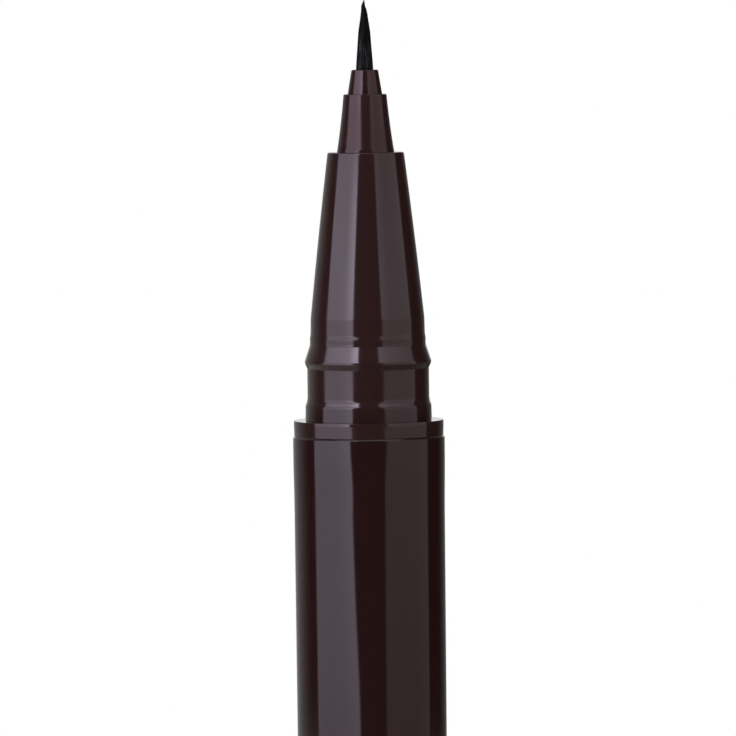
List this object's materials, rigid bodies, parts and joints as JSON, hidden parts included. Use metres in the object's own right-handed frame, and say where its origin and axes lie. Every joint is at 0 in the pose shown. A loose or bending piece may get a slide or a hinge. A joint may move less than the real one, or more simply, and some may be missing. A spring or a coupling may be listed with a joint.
{
  "type": "liquid eyeliner pen",
  "caption": "Brush-tipped liquid eyeliner pen standing uncapped on its tail, with a comb-fin ink regulator inside and its sprung sealing cap beside it.",
  "frame": {"origin": "centre of the tail cap's flat face, on the pen's axis", "axes": "+Z along the pen's axis from the tail to the brush tip, +X from the pen towards the cap that stands beside it"},
  "size_m": [0.0286, 0.0106, 0.1304],
  "materials": {
    "barrel_gloss": "high gloss, very dark brown",
    "section_gloss": "moulded gloss, dark brown",
    "nozzle_satin": "soft gloss, dark brown",
    "bristle_black": "fine tapered filaments",
    "natural_resin": "natural polypropylene",
    "seal_rubber": "soft matte",
    "feed_fibre": "bundled fibre",
    "steel": "bright stainless steel"
  },
  "bodies": {
    "pen": {"tail_cap": "barrel_gloss", "barrel": "barrel_gloss", "ink_tank": "natural_resin", "tank_plug": "natural_resin", "tank_seal": "seal_rubber", "collar": "section_gloss", "neck": "section_gloss", "front_section": "section_gloss", "collector": "natural_resin", "feed_core": "feed_fibre", "nozzle": "nozzle_satin", "ferrule": "nozzle_satin", "brush": "bristle_black", "brush_retainer": "natural_resin"},
    "ball": {"mixing_ball": "steel"},
    "cap": {"cap_shell": "barrel_gloss", "cap_end": "barrel_gloss", "cap_liner": "natural_resin", "cap_spring": "steel"},
    "inner_cup": {"inner_cap": "natural_resin"}
  },
  "joints": [
    {"name": "cap_lift", "type": "slide", "parent": "pen", "child": "cap", "axis": [0, 0, 1], "range_m": [0, 0.135]},
    {"name": "inner_cap_press", "type": "slide", "parent": "cap", "child": "inner_cup", "axis": [0, 0, -1], "range_m": [0, 0.0023], "stiffness_N_per_m": 60, "springref_m": -0.002, "deforming": ["cap_spring"]},
    {"name": "ball_run", "type": "slide", "parent": "pen", "child": "ball", "axis": [0, 0, 1], "range_m": [0, 0.071]}
  ]
}
